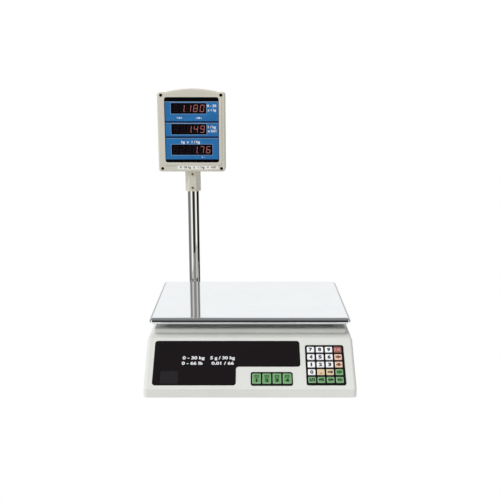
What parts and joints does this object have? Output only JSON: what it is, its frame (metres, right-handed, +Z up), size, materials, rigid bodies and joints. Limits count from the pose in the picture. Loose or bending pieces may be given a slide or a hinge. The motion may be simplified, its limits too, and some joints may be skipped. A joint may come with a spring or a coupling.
{
  "type": "retail price scale",
  "caption": "Counter-top price-computing scale with a stainless pan, a sloped keypad panel and a turning display on a pole.",
  "frame": {"origin": "centre of the base's footprint on the counter, under the feet", "axes": "+X to the seller's right, +Y to the back, +Z up; the keypad slope faces -Y"},
  "size_m": [0.3522, 0.3495, 0.4955],
  "materials": {
    "housing": "fine moulded texture, off-white",
    "head_casing": "fine moulded texture, warm grey-beige",
    "black_trim": "glossy black",
    "display_print": "glossy printed blue and black",
    "key_white": "satin white",
    "key_red": "satin dark red",
    "key_orange": "satin peach",
    "key_tan": "satin tan",
    "key_green": "satin green",
    "pan_steel": "mirror-polished stainless steel",
    "pole_steel": "polished stainless tube",
    "cast_metal": "as cast",
    "machined_metal": "machined",
    "screw_steel": "zinc plated",
    "rubber": "matt black",
    "circuit_board": "green solder mask",
    "collar_plastic": "moulded grey-beige",
    "fitting_plastic": "black",
    "level_glass": "clear cup with a yellow-green fluid",
    "battery_case": "dark grey case",
    "transformer_core": "varnished laminations"
  },
  "bodies": {
    "base": {"lower_chassis": "housing", "upper_housing": "housing", "window_panel": "black_trim", "keypad_bezel": "black_trim", "memory_bezel": "black_trim", "keypad_board": "circuit_board", "seller_display": "circuit_board", "housing_screws": "screw_steel", "load_cell": "machined_metal", "load_cell_mount": "machined_metal", "pole_socket": "collar_plastic", "power_inlet": "fitting_plastic", "switch_frame": "fitting_plastic", "spirit_level": "level_glass", "battery": "battery_case", "transformer": "transformer_core", "main_board": "circuit_board"},
    "platform": {"spider": "cast_metal", "spider_cups": "rubber", "spider_screws": "screw_steel"},
    "pan": {"pan": "pan_steel"},
    "pole_display": {"pole": "pole_steel", "head_front_shell": "head_casing", "head_rear_shell": "head_casing", "head_window": "display_print", "head_board": "circuit_board", "head_screws": "screw_steel"},
    "rocker": {"switch_rocker": "fitting_plastic"},
    "key_0_cap": {"key_0": "key_white"},
    "key_1_cap": {"key_1": "key_white"},
    "key_2_cap": {"key_2": "key_white"},
    "key_3_cap": {"key_3": "key_white"},
    "key_4_cap": {"key_4": "key_white"},
    "key_5_cap": {"key_5": "key_white"},
    "key_6_cap": {"key_6": "key_white"},
    "key_7_cap": {"key_7": "key_white"},
    "key_8_cap": {"key_8": "key_white"},
    "key_9_cap": {"key_9": "key_white"},
    "key_accumulate_cap": {"key_accumulate": "key_green"},
    "key_change_cap": {"key_change": "key_green"},
    "key_clear_cap": {"key_clear": "key_tan"},
    "key_point_cap": {"key_point": "key_tan"},
    "key_power_save_cap": {"key_power_save": "key_red"},
    "key_subtotal_cap": {"key_subtotal": "key_green"},
    "key_tare_cap": {"key_tare": "key_orange"},
    "key_total_cap": {"key_total": "key_green"},
    "key_unit_price_cap": {"key_unit_price": "key_green"},
    "key_zero_cap": {"key_zero": "key_orange"},
    "memory_key_1_cap": {"memory_key_1": "key_green"},
    "memory_key_2_cap": {"memory_key_2": "key_green"},
    "memory_key_3_cap": {"memory_key_3": "key_green"},
    "memory_key_4_cap": {"memory_key_4": "key_green"},
    "foot_pad_front_left_body": {"foot_pad_front_left": "rubber"},
    "foot_screw_front_left_body": {"foot_screw_front_left": "screw_steel"},
    "foot_pad_front_right_body": {"foot_pad_front_right": "rubber"},
    "foot_screw_front_right_body": {"foot_screw_front_right": "screw_steel"},
    "foot_pad_back_left_body": {"foot_pad_back_left": "rubber"},
    "foot_screw_back_left_body": {"foot_screw_back_left": "screw_steel"},
    "foot_pad_back_right_body": {"foot_pad_back_right": "rubber"},
    "foot_screw_back_right_body": {"foot_screw_back_right": "screw_steel"}
  },
  "joints": [
    {"name": "platform_deflection", "type": "slide", "parent": "base", "child": "platform", "axis": [0, 0, 1], "range_m": [-0.0005, 0], "stiffness_N_per_m": 600000, "springref_m": 0.00003, "deforming": ["load_cell"]},
    {"name": "pan_lift", "type": "slide", "parent": "platform", "child": "pan", "axis": [0, 0, 1], "range_m": [0, 0.08]},
    {"name": "mast_turn", "type": "hinge", "parent": "base", "child": "pole_display", "pos_m": [-0.1125, 0.156, 0.044], "axis": [0, 0, 1], "range_deg": [-170, 170]},
    {"name": "switch_rock", "type": "hinge", "parent": "base", "child": "rocker", "pos_m": [0.066, 0.17, 0.05], "axis": [0, 0, 1], "range_deg": [-20, 0]},
    {"name": "key_0_press", "type": "slide", "parent": "base", "child": "key_0_cap", "axis": [0, 0.6533, -0.7571], "range_m": [0, 0.0012], "stiffness_N_per_m": 800, "springref_m": -0.0006},
    {"name": "key_1_press", "type": "slide", "parent": "base", "child": "key_1_cap", "axis": [0, 0.6533, -0.7571], "range_m": [0, 0.0012], "stiffness_N_per_m": 800, "springref_m": -0.0006},
    {"name": "key_2_press", "type": "slide", "parent": "base", "child": "key_2_cap", "axis": [0, 0.6533, -0.7571], "range_m": [0, 0.0012], "stiffness_N_per_m": 800, "springref_m": -0.0006},
    {"name": "key_3_press", "type": "slide", "parent": "base", "child": "key_3_cap", "axis": [0, 0.6533, -0.7571], "range_m": [0, 0.0012], "stiffness_N_per_m": 800, "springref_m": -0.0006},
    {"name": "key_4_press", "type": "slide", "parent": "base", "child": "key_4_cap", "axis": [0, 0.6533, -0.7571], "range_m": [0, 0.0012], "stiffness_N_per_m": 800, "springref_m": -0.0006},
    {"name": "key_5_press", "type": "slide", "parent": "base", "child": "key_5_cap", "axis": [0, 0.6533, -0.7571], "range_m": [0, 0.0012], "stiffness_N_per_m": 800, "springref_m": -0.0006},
    {"name": "key_6_press", "type": "slide", "parent": "base", "child": "key_6_cap", "axis": [0, 0.6533, -0.7571], "range_m": [0, 0.0012], "stiffness_N_per_m": 800, "springref_m": -0.0006},
    {"name": "key_7_press", "type": "slide", "parent": "base", "child": "key_7_cap", "axis": [0, 0.6533, -0.7571], "range_m": [0, 0.0012], "stiffness_N_per_m": 800, "springref_m": -0.0006},
    {"name": "key_8_press", "type": "slide", "parent": "base", "child": "key_8_cap", "axis": [0, 0.6533, -0.7571], "range_m": [0, 0.0012], "stiffness_N_per_m": 800, "springref_m": -0.0006},
    {"name": "key_9_press", "type": "slide", "parent": "base", "child": "key_9_cap", "axis": [0, 0.6533, -0.7571], "range_m": [0, 0.0012], "stiffness_N_per_m": 800, "springref_m": -0.0006},
    {"name": "key_accumulate_press", "type": "slide", "parent": "base", "child": "key_accumulate_cap", "axis": [0, 0.6533, -0.7571], "range_m": [0, 0.0012], "stiffness_N_per_m": 800, "springref_m": -0.0006},
    {"name": "key_change_press", "type": "slide", "parent": "base", "child": "key_change_cap", "axis": [0, 0.6533, -0.7571], "range_m": [0, 0.0012], "stiffness_N_per_m": 800, "springref_m": -0.0006},
    {"name": "key_clear_press", "type": "slide", "parent": "base", "child": "key_clear_cap", "axis": [0, 0.6533, -0.7571], "range_m": [0, 0.0012], "stiffness_N_per_m": 800, "springref_m": -0.0006},
    {"name": "key_point_press", "type": "slide", "parent": "base", "child": "key_point_cap", "axis": [0, 0.6533, -0.7571], "range_m": [0, 0.0012], "stiffness_N_per_m": 800, "springref_m": -0.0006},
    {"name": "key_power_save_press", "type": "slide", "parent": "base", "child": "key_power_save_cap", "axis": [0, 0.6533, -0.7571], "range_m": [0, 0.0012], "stiffness_N_per_m": 800, "springref_m": -0.0006},
    {"name": "key_subtotal_press", "type": "slide", "parent": "base", "child": "key_subtotal_cap", "axis": [0, 0.6533, -0.7571], "range_m": [0, 0.0012], "stiffness_N_per_m": 800, "springref_m": -0.0006},
    {"name": "key_tare_press", "type": "slide", "parent": "base", "child": "key_tare_cap", "axis": [0, 0.6533, -0.7571], "range_m": [0, 0.0012], "stiffness_N_per_m": 800, "springref_m": -0.0006},
    {"name": "key_total_press", "type": "slide", "parent": "base", "child": "key_total_cap", "axis": [0, 0.6533, -0.7571], "range_m": [0, 0.0012], "stiffness_N_per_m": 800, "springref_m": -0.0006},
    {"name": "key_unit_price_press", "type": "slide", "parent": "base", "child": "key_unit_price_cap", "axis": [0, 0.6533, -0.7571], "range_m": [0, 0.0012], "stiffness_N_per_m": 800, "springref_m": -0.0006},
    {"name": "key_zero_press", "type": "slide", "parent": "base", "child": "key_zero_cap", "axis": [0, 0.6533, -0.7571], "range_m": [0, 0.0012], "stiffness_N_per_m": 800, "springref_m": -0.0006},
    {"name": "memory_key_1_press", "type": "slide", "parent": "base", "child": "memory_key_1_cap", "axis": [0, 0.6533, -0.7571], "range_m": [0, 0.0012], "stiffness_N_per_m": 800, "springref_m": -0.0006},
    {"name": "memory_key_2_press", "type": "slide", "parent": "base", "child": "memory_key_2_cap", "axis": [0, 0.6533, -0.7571], "range_m": [0, 0.0012], "stiffness_N_per_m": 800, "springref_m": -0.0006},
    {"name": "memory_key_3_press", "type": "slide", "parent": "base", "child": "memory_key_3_cap", "axis": [0, 0.6533, -0.7571], "range_m": [0, 0.0012], "stiffness_N_per_m": 800, "springref_m": -0.0006},
    {"name": "memory_key_4_press", "type": "slide", "parent": "base", "child": "memory_key_4_cap", "axis": [0, 0.6533, -0.7571], "range_m": [0, 0.0012], "stiffness_N_per_m": 800, "springref_m": -0.0006},
    {"name": "foot_lift_front_left", "type": "slide", "parent": "base", "child": "foot_pad_front_left_body", "axis": [0, 0, -1], "range_m": [0, 0.006]},
    {"name": "foot_turn_front_left", "type": "hinge", "parent": "foot_pad_front_left_body", "child": "foot_screw_front_left_body", "pos_m": [-0.14, -0.128, 0.01], "axis": [0, 0, -1], "range_deg": [0, 1720]},
    {"name": "foot_lift_front_right", "type": "slide", "parent": "base", "child": "foot_pad_front_right_body", "axis": [0, 0, -1], "range_m": [0, 0.006]},
    {"name": "foot_turn_front_right", "type": "hinge", "parent": "foot_pad_front_right_body", "child": "foot_screw_front_right_body", "pos_m": [0.14, -0.128, 0.01], "axis": [0, 0, -1], "range_deg": [0, 1720]},
    {"name": "foot_lift_back_left", "type": "slide", "parent": "base", "child": "foot_pad_back_left_body", "axis": [0, 0, -1], "range_m": [0, 0.006]},
    {"name": "foot_turn_back_left", "type": "hinge", "parent": "foot_pad_back_left_body", "child": "foot_screw_back_left_body", "pos_m": [-0.14, 0.128, 0.01], "axis": [0, 0, -1], "range_deg": [0, 1720]},
    {"name": "foot_lift_back_right", "type": "slide", "parent": "base", "child": "foot_pad_back_right_body", "axis": [0, 0, -1], "range_m": [0, 0.006]},
    {"name": "foot_turn_back_right", "type": "hinge", "parent": "foot_pad_back_right_body", "child": "foot_screw_back_right_body", "pos_m": [0.14, 0.128, 0.01], "axis": [0, 0, -1], "range_deg": [0, 1720]}
  ],
  "couplings": [
    {"joint": "foot_lift_front_left", "follows": "foot_turn_front_left", "m_per_rad": 0.00019894},
    {"joint": "foot_lift_front_right", "follows": "foot_turn_front_right", "m_per_rad": 0.00019894},
    {"joint": "foot_lift_back_left", "follows": "foot_turn_back_left", "m_per_rad": 0.00019894},
    {"joint": "foot_lift_back_right", "follows": "foot_turn_back_right", "m_per_rad": 0.00019894}
  ]
}
